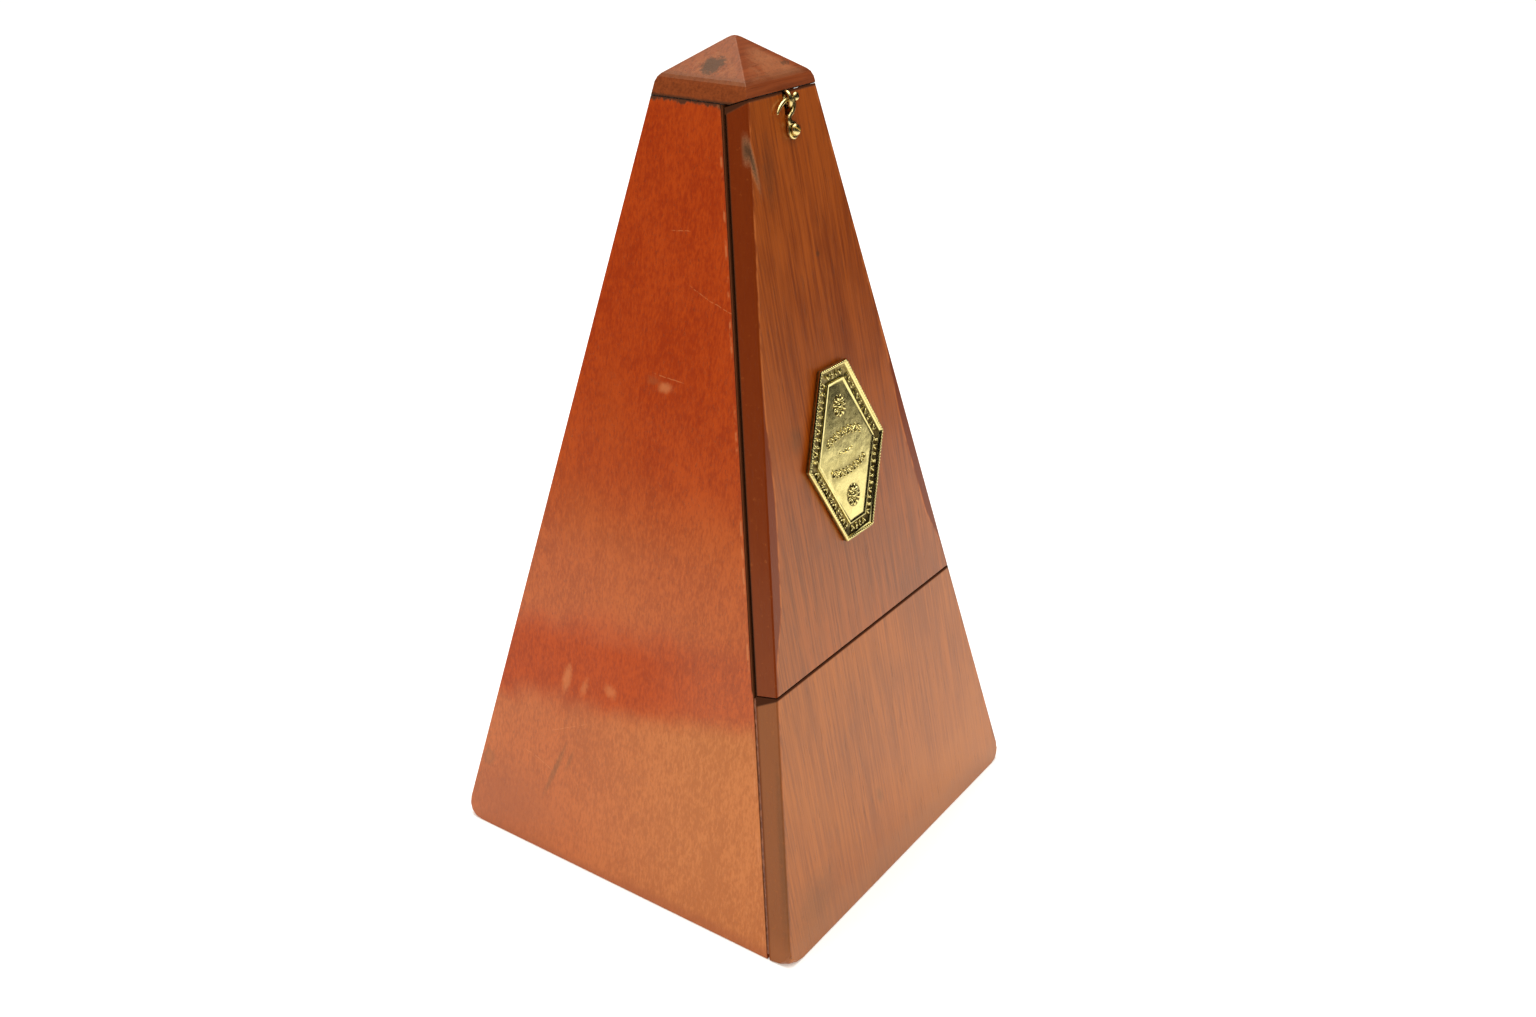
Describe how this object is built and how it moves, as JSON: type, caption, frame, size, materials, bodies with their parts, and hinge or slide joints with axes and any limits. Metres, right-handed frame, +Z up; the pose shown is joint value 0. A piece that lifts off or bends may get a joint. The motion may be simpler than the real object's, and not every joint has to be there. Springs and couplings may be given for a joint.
{
  "type": "metronome",
  "caption": "Four-sided pyramid wooden metronome with a low pointed cap, a latched front door with a hexagonal brass plate, an inverted pendulum and a key-wound clockwork.",
  "frame": {"origin": "centre of the underside of the base board, on the surface the metronome stands on", "axes": "+Z up, the front door faces -Y, +X to the viewer's right when facing the front, where the winding key is"},
  "size_m": [0.1369, 0.1186, 0.2247],
  "materials": {
    "side_wood": "glossy red-brown varnish over a fine straight grain",
    "front_wood": "worn satin red-brown varnish",
    "cap_wood": "worn dull red-brown varnish",
    "inner_wood": "bare",
    "brass": "aged",
    "steel": "plain",
    "blued_steel": "blued",
    "weight_metal": "bare"
  },
  "bodies": {
    "case": {"back_panel": "front_wood", "base_board": "inner_wood", "click_screw": "steel", "click_spring": "blued_steel", "escape_cock": "brass", "front_bridge": "brass", "glue_block_back_left": "inner_wood", "glue_block_back_right": "inner_wood", "glue_block_front_left": "inner_wood", "glue_block_front_right": "inner_wood", "key_escutcheon": "brass", "latch_eye": "brass", "left_plate": "brass", "left_side_panel": "side_wood", "lower_front_panel": "front_wood", "movement_fixing_back": "steel", "movement_fixing_front": "steel", "movement_rail_back": "inner_wood", "movement_rail_front": "inner_wood", "pendulum_catch": "brass", "pillar_back_lower": "brass", "pillar_back_upper": "brass", "pillar_front_lower": "brass", "pillar_nut_back_lower": "steel", "pillar_nut_back_upper": "steel", "pillar_nut_front_lower": "steel", "rear_bridge": "brass", "right_plate": "brass", "right_side_panel": "side_wood", "scale_board": "inner_wood", "scale_plate": "brass", "top_cap": "cap_wood"},
    "door": {"front_door": "front_wood", "door_tongue_left": "brass", "door_tongue_right": "brass", "nameplate": "brass", "latch_screw": "brass"},
    "hook": {"latch_hook": "brass"},
    "pendulum": {"pendulum_rod": "steel", "pendulum_hub": "brass", "lower_rod": "steel", "pendulum_bob": "weight_metal", "pallet_arbor": "steel", "front_pallet": "blued_steel", "rear_pallet": "blued_steel"},
    "weight": {"sliding_weight": "brass", "weight_spring": "blued_steel"},
    "winder": {"winding_arbor": "steel", "ratchet_wheel": "steel"},
    "key": {"winding_key": "brass"},
    "click": {"click": "steel"},
    "barrel": {"barrel_wheel": "brass", "barrel_cap": "brass", "mainspring": "blued_steel"},
    "second": {"second_arbor": "steel", "second_wheel": "brass"},
    "crown": {"escape_arbor": "steel", "crown_wheel": "brass"}
  },
  "joints": [
    {"name": "door_tilt", "type": "hinge", "parent": "case", "child": "door", "pos_m": [0, -0.04431, 0.07079], "axis": [1, 0, 0], "range_deg": [0, 40]},
    {"name": "latch_swing", "type": "hinge", "parent": "door", "child": "hook", "pos_m": [0.001, -0.01639, 0.20313], "axis": [0, 0.9785, -0.2065], "range_deg": [0, 80]},
    {"name": "pendulum_swing", "type": "hinge", "parent": "case", "child": "pendulum", "pos_m": [0, -0.04564, 0.06452], "axis": [0, -0.9785, 0.2065], "range_deg": [-5, 5]},
    {"name": "weight_slide", "type": "slide", "parent": "pendulum", "child": "weight", "axis": [0, 0.2065, 0.9785], "range_m": [-0.018, 0.062]},
    {"name": "winding", "type": "hinge", "parent": "case", "child": "winder", "pos_m": [0, 0.006, 0.02898], "axis": [1, 0, 0], "continuous": true},
    {"name": "key_pull", "type": "slide", "parent": "winder", "child": "key", "axis": [1, 0, 0], "range_m": [0, 0.03]},
    {"name": "click_lift", "type": "hinge", "parent": "case", "child": "click", "pos_m": [0, 0.00661, 0.0431], "axis": [-1, 0, 0], "range_deg": [0, 14], "stiffness_Nm_per_rad": 0.0002, "springref_deg": -11.46},
    {"name": "barrel_turn", "type": "hinge", "parent": "case", "child": "barrel", "pos_m": [0, 0.006, 0.02898], "axis": [1, 0, 0], "continuous": true},
    {"name": "second_turn", "type": "hinge", "parent": "case", "child": "second", "pos_m": [0, -0.0013, 0.04874], "axis": [1, 0, 0], "continuous": true},
    {"name": "crown_turn", "type": "hinge", "parent": "case", "child": "crown", "pos_m": [0, -0.0123, 0.05748], "axis": [1, 0, 0], "continuous": true}
  ],
  "couplings": [
    {"joint": "second_turn", "follows": "barrel_turn", "ratio": -6},
    {"joint": "crown_turn", "follows": "barrel_turn", "ratio": 36}
  ]
}
